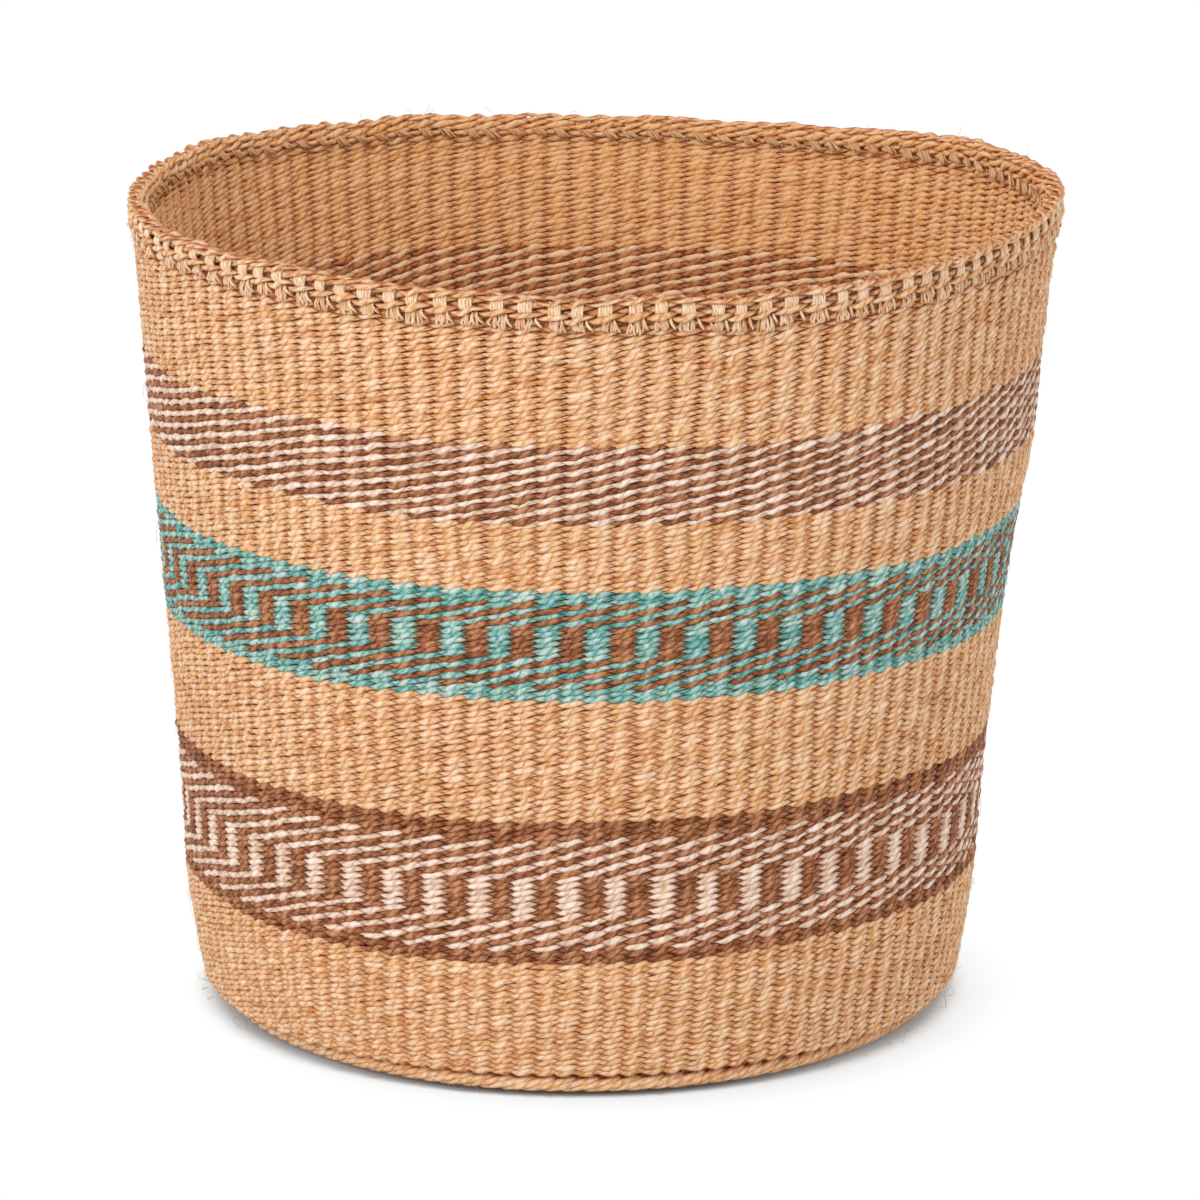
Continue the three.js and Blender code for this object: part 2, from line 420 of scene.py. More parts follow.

# A yarn's tone is a sum: a share of each thing that these are called after, and the shift. Its plies,
# inside and float ends carry painted light and shade
FIBRE_TONE = 1.3
BLOTCH_TONE = 0.45
# The plies' tone: painted light on their crowns and painted shade in the groove between them
PLY_TONE = 0.5
SHADE_TONE = 0.16
# Painted light: faces that turn inward are lighter
INSIDE_PAINTED_LIGHT = 0.25
# Painted shade and light: a float is darker towards its ends, where it dives between warps, and lighter in
# its middle
FLOAT_END_PAINTED_SHADE = -0.15
TONE_SHIFT = -0.71
TONE_STOPS = (0.15, 0.5, 0.85)  # tones at which it has its dark, middle and light colour

# Painted shade: it is darker where it dives between two warps, and on its flanks, where rows press on each
# other and shade would fall between them
PAINTED_SHADE_COLOUR = (0.52, 0.2, 0.05, 1)
PAINTED_SHADE_SHARE = 0.92
DIVE_DARKNESS = 0.45
FLANK_DARKNESS = 0.45
FLANK_DARKNESS_GAIN = 1.1       # how much more its flanks have where it dives
DARKNESS_POWER = 3.0            # the higher it is, the narrower the painted shade is
INSIDE_COLOUR = (1, 0.8, 0.54, 1)       # light that goes to and fro inside the basket turns warmer
INSIDE_EVENNESS = 0.9                   # and it fills the hollows of the inner side


def faces_inward(nodes):
    """1 where the surface faces the basket's axis, 0 where it faces up, down or outward."""
    geometry = nodes.add("ShaderNodeNewGeometry").outputs
    share = -1 / (wall_radius(BASKET_HEIGHT / 2) * MM)
    inward = nodes.feed(nodes.add("ShaderNodeVectorMath", operation="MULTIPLY"),
                        {0: geometry["Position"], 1: (share, share, 0)})
    facing = nodes.feed(nodes.add("ShaderNodeVectorMath", operation="DOT_PRODUCT"),
                        {0: inward["Vector"], 1: geometry["Normal"]})
    return nodes.math("MINIMUM", nodes.math("MAXIMUM", facing["Value"]), 1.0)


def add_streaks(nodes, along, round_angle):
    """Fibres as fine streaks, blotches along the yarn, its two plies, and patches of hue."""
    fibre_angle = nodes.total(round_angle, nodes.times(along, FIBRE_TWIST))
    cosine = nodes.math("COSINE", fibre_angle)
    sine = nodes.math("SINE", fibre_angle)
    fibre_place = nodes.vector(cosine, sine, nodes.times(along, FIBRE_STRETCH))
    fibres = nodes.noise(fibre_place, FIBRES_ROUND, FIBRE_DETAIL)
    blotch_place = nodes.vector(nodes.times(cosine, BLOTCH_WIDTH), nodes.times(sine, BLOTCH_WIDTH), along)
    blotches = nodes.noise(blotch_place, BLOTCH_SCALE, BLOTCH_DETAIL)
    ply_angle = nodes.total(round_angle, nodes.times(along, PLY_TWIST), nodes.times(blotches, BLOTCH_PUSH))
    plies = nodes.math("POWER", nodes.math("ABSOLUTE", nodes.math("COSINE", ply_angle)), PLY_ROUNDNESS)
    hue_place = nodes.vector(along, nodes.times(cosine, HUE_WIDTH), nodes.times(sine, HUE_WIDTH))
    hue = nodes.ramp(nodes.noise(hue_place, HUE_SCALE, HUE_DETAIL), HUE_PATCHES)
    return fibres, blotches, plies, hue


def add_painted_shade(nodes, round_angle, hollow, inward):
    """How much painted shade a place has between yarns, from 0 to 1."""
    flank = nodes.math("ABSOLUTE", nodes.math("SINE", round_angle))
    pressed = nodes.total(nodes.times(hollow, FLANK_DARKNESS_GAIN), FLANK_DARKNESS)
    pressed = nodes.times(nodes.math("POWER", flank, DARKNESS_POWER), pressed)
    dive = nodes.times(nodes.math("POWER", hollow, DARKNESS_POWER), DIVE_DARKNESS)
    painted_shade = nodes.math("MINIMUM", nodes.total(dive, pressed), 1.0)
    outside_more = nodes.math("SUBTRACT", 1.0, nodes.times(inward, INSIDE_EVENNESS))
    return nodes.times(painted_shade, outside_more)


def add_bump(nodes, fibres, plies):
    height = nodes.total(fibres, nodes.times(plies, PLY_BUMP))
    values = {"Strength": BUMP_STRENGTH, "Distance": BUMP_DEPTH * MM, "Height": height}
    return nodes.feed(nodes.add("ShaderNodeBump"), values)["Normal"]


def yarn_material(name, dark, middle, light):
    """Two twisted plies of sisal, with painted shade between yarns and painted light inside the basket,
    which is warmer.
    """
    nodes = Nodes(bpy.data.materials.new(name))
    along, across = nodes.split(nodes.add("ShaderNodeUVMap", uv_map="yarn").outputs["UV"])[:2]
    round_angle = nodes.times(across, 2 * math.pi)
    fibres, blotches, plies, hue = add_streaks(nodes, along, round_angle)
    hollow = nodes.kept("hollow")
    inward = faces_inward(nodes)
    tones = ((fibres, FIBRE_TONE), (blotches, BLOTCH_TONE), (plies, PLY_TONE),
             (nodes.kept("shade"), SHADE_TONE), (inward, INSIDE_PAINTED_LIGHT), (hollow, FLOAT_END_PAINTED_SHADE))
    tone = nodes.total(*[nodes.times(value, share) for value, share in tones], TONE_SHIFT)
    colour = nodes.ramp(tone, list(zip(TONE_STOPS, (dark, middle, light))))
    colour = nodes.mix("MULTIPLY", 1, colour, hue)
    painted_shade = nodes.times(add_painted_shade(nodes, round_angle, hollow, inward), PAINTED_SHADE_SHARE)
    # Painted shade between yarns darkens the colour towards a warm brown
    colour = nodes.mix("MULTIPLY", painted_shade, colour, PAINTED_SHADE_COLOUR)
    colour = nodes.mix("MULTIPLY", inward, colour, INSIDE_COLOUR)
    nodes.feed(nodes.surface, {
        "Base Color": colour,
        "Normal": add_bump(nodes, fibres, plies),
        "Roughness": ROUGHNESS,
        "Specular IOR Level": GLOSS,
    })
    return nodes.owner


material_of = {
    "sisal_tan": yarn_material("tan_yarn", (200, 136, 80), (231, 185, 138), (244, 217, 188)),
    "sisal_pale": yarn_material("pale_yarn", (222, 174, 126), (246, 214, 176), (252, 236, 212)),
    "sisal_heel": yarn_material("heel_yarn", (202, 142, 90), (229, 181, 133), (244, 215, 180)),
    "sisal_brown": yarn_material("brown_yarn", (106, 58, 31), (158, 99, 62), (202, 149, 111)),
    "sisal_cream": yarn_material("cream_yarn", (202, 168, 144), (236, 210, 191), (250, 236, 225)),
    "sisal_teal": yarn_material("teal_yarn", (64, 138, 135), (132, 187, 181), (208, 222, 216)),
}


# Wall

FLOAT_FATNESS = 0.1             # share by which floats differ in height
FLOAT_LIFT = 0.14               # how much they differ in place, up or down
FLOAT_TILT = 0.28               # in slant
FLOAT_PROUD = 0.22              # in how far they stand out
FLOAT_SHADE = 0.55              # and in tone
YARN_LUMPS = 0.06               # share by which the yarn's thickness wanders along a float
FIRST_ROW_RISE = 0.3            # the first row stands a little off the heel, which leaves holes
row_warps = np.arange(WARPS * STEPS_PER_WARP) / STEPS_PER_WARP


def twined_strand(height, inside, outside, goes_out_on_odd, slant, depth=YARN_HALF_DEPTH,
                  pinched=PINCHED_HALF_HEIGHT, swell=FLOAT_SWELL, squareness=FLOAT_SQUARENESS,
                  unevenness=1.0):
    """One strand of a twined row between two radii: out over one warp, in behind the next."""
    turn = math.pi * (row_warps - goes_out_on_odd)
    out = np.cos(turn)
    bow = np.abs(out)
    nearest = np.round(row_warps).astype(int) % WARPS
    fatness = random.normal(1, FLOAT_FATNESS * unevenness, WARPS)[nearest]
    lift = random.normal(0, FLOAT_LIFT * unevenness, WARPS)[nearest]
    tilt = random.normal(0, FLOAT_TILT * unevenness, WARPS)[nearest]
    proud = random.normal(0, FLOAT_PROUD * unevenness, WARPS)[nearest]
    shade = random.normal(0, FLOAT_SHADE, WARPS)[nearest]
    lumps = random.normal(1, YARN_LUMPS, len(row_warps))
    swing = (outside - inside) / 2 - depth
    crossing = (outside + inside) / 2 + CROSSING_OUT * (1 - bow)
    radius = crossing + swing * np.sign(out) * bow ** squareness + proud * out
    curl = (FLOAT_CURL + tilt) * np.sin(2 * turn) * np.sign(out)
    level = height + slant * np.sin(turn) + (lift + curl) * bow
    centres = placed(warp_angle(row_warps, height), level, radius)
    half_height = (pinched + swell * bow ** FLOAT_FULLNESS) * (1 + (fatness - 1) * bow) * lumps
    return centres, half_height, shade, 1 - bow


def stacked(strands):
    return [np.stack(values) for values in zip(*strands)]


def wall_strands(first_row, out_on_odd):
    """Strands for rows counted up from first_row. out_on_odd says so for each row."""
    strands = []
    for number, is_odd in enumerate(out_on_odd):
        row = first_row + number
        height = WEAVE_BOTTOM + (row + 0.5) * ROW_PITCH + FIRST_ROW_RISE * math.exp(-row)
        crest = wall_radius(height)
        slant = YARN_SLANT + YARN_SLANT_GAIN * height / BASKET_HEIGHT
        strands.append(twined_strand(height, crest - WALL_THICKNESS, crest, is_odd, slant))
    return stacked(strands)


def alternate(rows, is_first_odd):
    return [(row + is_first_odd) % 2 for row in range(rows)]


# For each row, whether the brown yarn is outside on the odd warps. It makes checks where that
# changes from row to row, and columns where it stays
BROWN_ON_ODD = {
    "cream_check_band": alternate(5, 0) + [1] * 7 + alternate(6, 0),
    "teal_check_band": alternate(5, 1) + [0] * 6 + alternate(4, 1),
    "diagonal_band": alternate(14, 0),
}


def build_wall():
    first_row = 0
    for node, rows, slot_a, slot_b in BANDS:
        first_out = BROWN_ON_ODD.get(node, alternate(rows, 0))
        second_out = [1 - is_odd for is_odd in first_out]
        for letter, slot, out_on_odd in (("a", slot_a, first_out), ("b", slot_b, second_out)):
            centres, half_height, shade, hollow = wall_strands(first_row, out_on_odd)
            half_depth = YARN_HALF_DEPTH + CROSSING_DEPTH * hollow ** 2
            piece = yarns(f"{node}_weft_{letter}", slot, centres, half_depth, half_height,
                          shade=shade, hollow=hollow)
            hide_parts(node)
        first_row += rows


# Warps: flat cords from the base, through the heel cord and up inside the wall

WARP_HALF_WIDTH = 2.9
WARP_HALF_DEPTH = 1.1
WARP_OVERLAP = 1.14             # pressed by the rows, the warps in the wall are so wide that they meet
WARP_STEPS_IN_BASE = 8
WARP_STEPS_IN_WALL = 26
WARP_BARE_IN = 0.6              # between the heel and the first row they lie deep, which leaves dark holes
WARP_BARE_DROP = 0.2            # that place is just below the weave
WARP_NEAREST = 4                # no warp starts nearer to the middle of the base
WARP_HIDDEN = 3                 # how far inside its first round it starts, and inside the last it turns
WARP_PAST_WEAVE = 6             # it ends behind the rim
BASE_MIDDLE = (lowest("base_outer_rounds") + highest("base_outer_rounds")) / 2
BASE_RISE = lowest("base_start_knot")
BASE_EDGE = reach("base_outer_rounds")
KNOT_RADIUS = reach("base_start_knot")
HEEL_MIDDLE = (lowest("heel_cord") + highest("heel_cord")) / 2
HEEL_HALF_HEIGHT = (highest("heel_cord") - lowest("heel_cord")) / 2
HEEL_RADIUS = reach("heel_cord") - HEEL_HALF_HEIGHT

# New warps come in on the way out: how many there are from each radius on
BASE_WARPS = [(KNOT_RADIUS, 14), (24, 28), (48, 56), (reach("base_inner_rounds"), WARPS)]


def base_height(radius):
    """Middle of the base's thickness, drawn up a little towards the start knot."""
    inner = reach("base_inner_rounds")
    share = np.clip((inner - radius) / (inner - KNOT_RADIUS), 0, 1)
    return BASE_MIDDLE + BASE_RISE * share


def warp_start(warp):
    for radius, count in BASE_WARPS:
        if warp % (WARPS // count) == 0:
            return radius
    return BASE_EDGE


def build_warps():
    paths = []
    in_wall = np.linspace(WEAVE_BOTTOM + ROW_PITCH, WEAVE_TOP + WARP_PAST_WEAVE, WARP_STEPS_IN_WALL)
    wall_middle = wall_radius(in_wall) - WALL_THICKNESS / 2
    bare_height = WEAVE_BOTTOM - WARP_BARE_DROP
    bare_radius = wall_radius(bare_height) - WALL_THICKNESS / 2 - WARP_BARE_IN
    through_heel = HEEL_RADIUS - HEEL_SWING / 2
    for warp in range(WARPS):
        start = max(warp_start(warp) - WARP_HIDDEN, WARP_NEAREST)
        in_base = np.linspace(start, BASE_EDGE - WARP_HIDDEN, WARP_STEPS_IN_BASE)
        radius = np.concatenate([in_base, [through_heel - 1, through_heel, bare_radius], wall_middle])
        between = [BASE_MIDDLE + 1, HEEL_MIDDLE, bare_height]
        height = np.concatenate([base_height(in_base), between, in_wall])
        paths.append(placed(warp_angle(warp, height), height, radius))
    centres = np.stack(paths)
    narrow = np.full(WARP_STEPS_IN_BASE + 3, WARP_HALF_WIDTH)
    half_width = np.concatenate([narrow, wall_middle * math.pi / WARPS * WARP_OVERLAP])
    # Each warp gets the yarns' painted shade all along it, as if it lay deep between them, so that it
    # shows dark in the holes of the weave
    yarns("warps", "sisal_pale", centres, WARP_HALF_DEPTH, half_width,
          upward=along_wall(height=0), sides=8, is_closed=False, hollow=1)


# Heel: a wale round the foot. Its strand passes over two warps and behind the third, and it goes
# round three times, so that at each place there are three strands.

HEEL_STRANDS = 3
HEEL_STEPS_PER_WARP = 7
HEEL_OUTSIDE_SHARE = 0.76       # share of its way that a strand is outside
HEEL_DROP = 0.6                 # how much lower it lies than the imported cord
HEEL_OUT = 2.0                  # and how much further out
HEEL_FRONT = 1.4                # it bulges a little in front and behind
HEEL_UNDERCUT = 8.0             # and at the sides its underside is drawn in
HEEL_UNDERCUT_TOP = 8.0
HEEL_RISE = 2.0                 # half the height that the strand climbs outside
HEEL_SWING = 1.9                # half the distance between its places outside and inside
HEEL_STRAND_HALF_DEPTH = 1.55
HEEL_STRAND_HALF_HEIGHT = 1.45
HEEL_FATNESS = 0.08             # share by which its strokes differ in height
HEEL_SHADE = 0.5                # and how much in tone
HEEL_CLEARANCE = 0.1            # above the floor
HEEL_SIDES = 8


def build_heel():
    steps = HEEL_STRANDS * WARPS * HEEL_STEPS_PER_WARP
    warp = np.arange(steps) / HEEL_STEPS_PER_WARP
    share = warp / HEEL_STRANDS % 1
    is_outside = share < HEEL_OUTSIDE_SHARE
    climb = share / HEEL_OUTSIDE_SHARE
    return_share = (share - HEEL_OUTSIDE_SHARE) / (1 - HEEL_OUTSIDE_SHARE)
    wind = math.pi * np.where(is_outside, climb - 0.5, 0.5 + return_share)
    even_climb = np.where(is_outside, 2 * climb - 1, 1 - 2 * return_share)
    stroke = (warp // HEEL_STRANDS).astype(int) % WARPS
    fatness = random.normal(1, HEEL_FATNESS, WARPS)[stroke]
    shade = random.normal(0, HEEL_SHADE, WARPS)[stroke]
    radius = HEEL_RADIUS + HEEL_OUT + HEEL_SWING * np.cos(wind)
    height = HEEL_MIDDLE - HEEL_DROP + HEEL_RISE * (np.sin(wind) + even_climb) / 2
    fatness = 1 + (fatness - 1) * np.clip(np.cos(wind), 0, 1)
    height = np.maximum(height, HEEL_STRAND_HALF_HEIGHT * fatness + HEEL_CLEARANCE)
    angle = warp_angle(warp, HEEL_MIDDLE)
    radius = radius - HEEL_UNDERCUT * (1 - height / HEEL_UNDERCUT_TOP) * np.sin(angle) ** 2
    radius = radius + HEEL_FRONT * np.cos(angle) ** 4
    centres = placed(angle, height, radius)
    # Painted shade: a strand is darker where it goes in behind the warps and towards the ends of each
    # stroke outside
    hollow = np.clip(-np.cos(wind) + 0.25, 0, 1)
    piece = yarns("heel_wale", "sisal_heel", centres[None], HEEL_STRAND_HALF_DEPTH,
                  (HEEL_STRAND_HALF_HEIGHT * fatness)[None], sides=HEEL_SIDES, shade=shade, hollow=hollow)
    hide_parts("heel_cord")


# Base: twined rounds on the radial warps, out from a start knot

BASE_PITCH = 2.62
BASE_STEPS_PER_WARP = 4
BASE_SIDES = 5
BASE_SLANT = 0.7
BASE_HALF_WIDTH = 0.6
BASE_SWELL = 0.66
BASE_OUT = 3.2                  # in front and behind, the last rounds reach out to the heel


def base_strand(radius, count, goes_out_on_odd):
    """One strand of a round of the base: under one warp and over the next."""
    step = np.arange(count * BASE_STEPS_PER_WARP) / BASE_STEPS_PER_WARP
    under = np.cos(math.pi * (step - goes_out_on_odd))
    bow = np.abs(under)
    swing = BASE_MIDDLE - YARN_HALF_DEPTH
    height = base_height(radius) - swing * np.sign(under) * bow ** FLOAT_SQUARENESS
    angle = warp_angle(step * WARPS / count, 0)
    drawn_in = BASE_OUT * np.sin(angle) ** 2 * (radius / BASE_EDGE) ** 8
    place = radius + BASE_SLANT * np.sin(math.pi * (step - goes_out_on_odd)) - drawn_in
    width = BASE_HALF_WIDTH + BASE_SWELL * bow ** 0.8
    shade = random.normal(0, FLOAT_SHADE, count)[np.round(step).astype(int) % count]
    return placed(angle, height, place), width, shade, 1 - bow


def build_base_rounds(node, first_radius, last_radius):
    """The rounds of one node. Rounds with the same number of warps are one object."""
    rounds = max(1, round((last_radius - first_radius) / BASE_PITCH))
    pitch = (last_radius - first_radius) / rounds
    groups = {}
    for number in range(rounds):
        radius = first_radius + (number + 0.5) * pitch
        count = [count for start, count in BASE_WARPS if start <= radius][-1]
        for is_odd in (number % 2, 1 - number % 2):
            groups.setdefault(count, []).append(base_strand(radius, count, is_odd))
    for count, strands in groups.items():
        centres, width, shade, hollow = stacked(strands)
        name = f"{node}_weft" if len(groups) == 1 else f"{node}_weft_{count}"
        piece = yarns(name, "sisal_tan", centres, width, YARN_HALF_DEPTH, sides=BASE_SIDES,
                      shade=shade, hollow=hollow)
        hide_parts(node)


KNOT_STRANDS = 6
KNOT_STRAND_HALF_WIDTH = 1.75
KNOT_STRAND_HALF_DEPTH = 1.3
KNOT_STEPS = 25
KNOT_MARGIN = 3                 # room for the binding
KNOT_END_HIDDEN = 1.5           # how far the strands reach into it
KNOT_BINDING_ROUNDS = 2
KNOT_BINDING_PITCH = 2.4
KNOT_BINDING_STITCHES = 14      # it waves in and out, and up and down, this often
KNOT_BINDING_WAVE_IN = 0.3
KNOT_BINDING_WAVE_UP = 0.5
KNOT_BINDING_HALF_DEPTH = 1.3
KNOT_BINDING_HALF_HEIGHT = 1.25
KNOT_BINDING_STEPS = 96


def build_start_knot():
    """The first warps cross over and under each other, and two rounds bind them."""
    middle = (lowest("base_start_knot") + highest("base_start_knot")) / 2
    spread = KNOT_RADIUS - KNOT_MARGIN
    spacing = 2 * spread / KNOT_STRANDS
    paths = []
    for is_across in (False, True):
        for number in range(KNOT_STRANDS):
            aside = (number - (KNOT_STRANDS - 1) / 2) * spacing
            half_length = math.sqrt((spread + KNOT_END_HIDDEN) ** 2 - aside ** 2)
            run = np.linspace(-half_length, half_length, KNOT_STEPS)
            weave = np.cos(math.pi * (run / spacing + KNOT_STRANDS / 2 - 0.5 + number + is_across))
            height = middle + KNOT_STRAND_HALF_DEPTH * 0.9 * weave
            side = np.full_like(run, aside)
            x, y = (side, run) if is_across else (run, side)
            paths.append(np.stack([x + LEAN_AT_FOOT, y, height], axis=-1))
    piece = yarns("start_knot_warps", "sisal_pale", np.stack(paths), KNOT_STRAND_HALF_WIDTH,
                  KNOT_STRAND_HALF_DEPTH, sides=8, is_closed=False)
    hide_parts("base_start_knot")
    turns = np.arange(KNOT_BINDING_STEPS) * 2 * math.pi / KNOT_BINDING_STEPS
    stitch = KNOT_BINDING_STITCHES * turns
    rings = []
    for number in range(KNOT_BINDING_ROUNDS):
        radius = KNOT_RADIUS - KNOT_BINDING_HALF_DEPTH - KNOT_BINDING_WAVE_IN * np.cos(stitch)
        height = middle + (number - 0.5) * KNOT_BINDING_PITCH + KNOT_BINDING_WAVE_UP * np.sin(stitch)
        rings.append(placed(turns, height, radius))
    binding = yarns("start_knot_binding", "sisal_tan", np.stack(rings), KNOT_BINDING_HALF_DEPTH,
                    KNOT_BINDING_HALF_HEIGHT)
    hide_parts("base_start_knot")


# Rim

RIM_UNEVENNESS = 1.6            # of its rows, against those of the wall
RIM_PITCH = 2.9
RIM_SIDES = 8
LOWER_CORD_MIDDLE = 8.0         # how far below the top edge it lies
GAP_ROW_MIDDLE = 4.9            # and the row that shows between the folded warps
TOP_CORD_MIDDLE = 1.75
TOP_CORD_WIDTH = 7.6
FOLD_STRANDS = 5
FOLD_WIDTH = 5.0
FOLD_DEPTH = 3.8
FOLD_STRAND_RADIUS = 0.68
FOLD_IN = 2.5                   # its outer side lies this far inside the rim's outline
FOLD_TOP = 2.6                  # below the top edge, and so is its lower end
FOLD_BOTTOM = 11
FOLD_ROUNDING = 1.2
FOLD_BULGE = 0.35
FOLD_SHADE = 0.5

# A folded warp's outer leg, from the fold down: how far out it is, and how far below the fold
FOLD_LEG_OUT = np.array([0.35, 0.1, -1.5, -3.2])
FOLD_LEG_DROP = np.array([2.3, 3.6, 5, 7])

# The trimmed ends, from root to tip. The root's height is how far it lies below the top edge, and
# widths and places to the side are counted in warps
KNOB_STRANDS = 6
KNOB_STRAND_RADIUS = 0.62
KNOB_WIDTH = 0.44
KNOB_ROOT = 8.6
KNOB_SPREAD = np.array([0.9, 1, 1.1, 1.1, 1])
KNOB_DROP = np.array([0, 1.8, 3.4, 4.6, 5.2])
KNOB_OUT = np.array([0.4, 1.1, 1.5, 1.5, 0.9])
# Painted shade along a knob, most at its root under the lower cord and a little at its tip
KNOB_PAINTED_SHADE = np.array([0.6, 0.1, 0, 0, 0.2])
KNOB_IN = 0.7                   # its places are counted from this far inside the wall
KNOB_UNEVENNESS = 0.12
KNOB_SHADE = 0.6                # its mean tone against the wall's
STRAND_SHADE = 0.9              # how much the strands of knobs and brushes differ in tone
LOOSE_END_RADIUS = 0.6
LOOSE_END_PLACE = 0.33          # to the right of its warp
LOOSE_END_ROOT = 8.4
LOOSE_END_ASIDE = np.array([0, 0.02, 0.09, 0.18, 0.22])
LOOSE_END_DROP = np.array([0, 1.3, 2.7, 3.9, 4.6])
LOOSE_END_OUT = np.array([0.2, 1.3, 1.1, 0.2, -0.8])
# Painted shade along a loose end: some at its root under the cord, most at its tip, where it slants into
# the hole
LOOSE_END_PAINTED_SHADE = np.array([0.6, 0.1, 0, 0.3, 0.9])
LOOSE_END_SHADE = 0.6
CUT_FIBRES = 16
CUT_FIBRE_RADIUS = 0.36
CUT_LENGTH = 3.6
CUT_ROOT = 6.6
CUT_WIDTH = 0.4
CUT_DEPTH = 1.5
CUT_LEAN = -0.3                 # a fibre's tip lies this far to the left of its root
CUT_SHADE = 1.2


def build_rim_row(name, node, middle, inner, outer, slant, depth, pinched, swell, squareness,
                  strands=(0, 1), filling=1.0):
    """A twined row of the rim. With no filling, its yarns stay narrow where they cross, and the painted
    shade there is stronger and spreads further.
    """
    rows = [twined_strand(middle, inner, outer, is_odd, slant, depth, pinched, swell, squareness,
                          RIM_UNEVENNESS) for is_odd in strands]
    centres, half_height, shade, hollow = stacked(rows)
    half_depth = depth + filling * hollow ** 2
    # Painted shade where the yarns cross
    painted_shade = hollow if filling else hollow ** 0.5
    piece = yarns(name, "sisal_tan", centres, half_depth, half_height, sides=RIM_SIDES, shade=shade,
                  hollow=painted_shade)
    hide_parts(node)


def build_rim_rows():
    """From below: two rows behind the trimmed ends, the lower cord, the row that shows between the
    folded warps, and the top cord."""
    inner = reach("top_tan_band") - WALL_THICKNESS
    wall = reach("top_tan_band")
    outer = reach("rim_trimmed_ends")
    top = BASKET_HEIGHT
    low = lowest("rim_trimmed_ends") + RIM_PITCH / 2
    narrow = {"pinched": 0.5, "swell": 0.85, "squareness": 0.9, "filling": 0}
    build_rim_row("rim_row_behind_ends", "rim_trimmed_ends", low, inner, wall - 0.1,
                  slant=0.8, depth=1.2, **narrow)
    build_rim_row("rim_upper_row_behind_ends", "rim_trimmed_ends", low + RIM_PITCH, inner, wall,
                  slant=1.0, depth=1.25, **narrow)
    build_rim_row("rim_lower_cord_strands", "rim_lower_cord", top - LOWER_CORD_MIDDLE,
                  inner + 0.4, outer + 1.0,
                  slant=0.95, depth=1.35, pinched=0.75, swell=0.6, squareness=0.4)
    build_rim_row("rim_gap_row", "rim_warp_folds", top - GAP_ROW_MIDDLE, inner + 0.2, outer - 0.7,
                  slant=1.1, depth=1.2, pinched=1.1, swell=0.3, squareness=0.8)
    top_outer = reach("rim_top_strand_a") - 0.7
    for letter, is_odd in (("a", 0), ("b", 1)):
        build_rim_row(f"rim_top_cord_{letter}", f"rim_top_strand_{letter}", top - TOP_CORD_MIDDLE,
                      top_outer - TOP_CORD_WIDTH, top_outer,
                      slant=0.75, depth=1.3, pinched=0.8, swell=0.15, squareness=0.6, strands=[is_odd])


def build_rim_folds():
    """Each warp turns over inside the top cord and comes down behind the lower cord, as flat strands."""
    outer = reach("rim_warp_folds") - FOLD_IN
    inner = outer - FOLD_DEPTH
    bottom = BASKET_HEIGHT - FOLD_BOTTOM
    top = BASKET_HEIGHT - FOLD_TOP
    side = np.linspace(0, math.pi, 9)
    over_radius = (outer + inner) / 2 - (outer - inner) / 2 * np.cos(side)
    over_height = top - FOLD_ROUNDING + FOLD_ROUNDING * np.sin(side)
    radius = np.concatenate([[inner - 0.4, inner - 0.2], over_radius, outer + FOLD_LEG_OUT])
    height = np.concatenate([[bottom, top - 4.5], over_height, top - FOLD_LEG_DROP])
    paths = []
    spread = (np.arange(FOLD_STRANDS) - (FOLD_STRANDS - 1) / 2) / FOLD_STRANDS * FOLD_WIDTH
    for warp in range(WARPS):
        wide = random.normal(1, 0.08)
        aside = random.normal(0, 0.3)
        for offset in spread:
            warp_offset = (offset * wide + aside) / (2 * math.pi * outer / WARPS)
            bulge = FOLD_BULGE * math.cos(offset / FOLD_WIDTH * math.pi) + random.normal(0, 0.08)
            paths.append(placed(warp_angle(warp + warp_offset, height), height, radius + bulge))
    shade = random.normal(0, FOLD_SHADE, (len(paths), 1))
    piece = yarns("rim_folded_warps", "sisal_pale", np.stack(paths), FOLD_STRAND_RADIUS,
                  FOLD_STRAND_RADIUS, upward=along_wall(FOLD_STRANDS, top), is_closed=False,
                  shade=shade)
    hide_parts("rim_warp_folds")


def build_knobs():
    """Outside, under the lower cord, the trimmed end of each warp is a knob of a few strands."""
    wall = reach("top_tan_band")
    paths = []
    for warp in range(WARPS):
        middle = warp + random.normal(0.02, 0.05)
        size = random.normal(1, KNOB_UNEVENNESS)
        for number in range(KNOB_STRANDS):
            aside = (number / (KNOB_STRANDS - 1) - 0.5) * KNOB_WIDTH * size
            proud = random.normal(1, KNOB_UNEVENNESS) * size * (1 - 6 * aside ** 2)
            place = middle + aside * KNOB_SPREAD + random.normal(0, 0.03, len(KNOB_SPREAD))
            height = BASKET_HEIGHT - KNOB_ROOT - random.normal(1, 0.07) * size * KNOB_DROP
            radius = wall - KNOB_IN + proud * KNOB_OUT
            paths.append(placed(warp_angle(place, height), height, radius))
    piece = yarns("rim_knobs", "sisal_tan", np.stack(paths), KNOB_STRAND_RADIUS, KNOB_STRAND_RADIUS,
                  upward=along_wall(KNOB_STRANDS), is_closed=False,
                  shade=random.normal(KNOB_SHADE, STRAND_SHADE, (len(paths), 1)), hollow=KNOB_PAINTED_SHADE)
    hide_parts("rim_trimmed_ends")


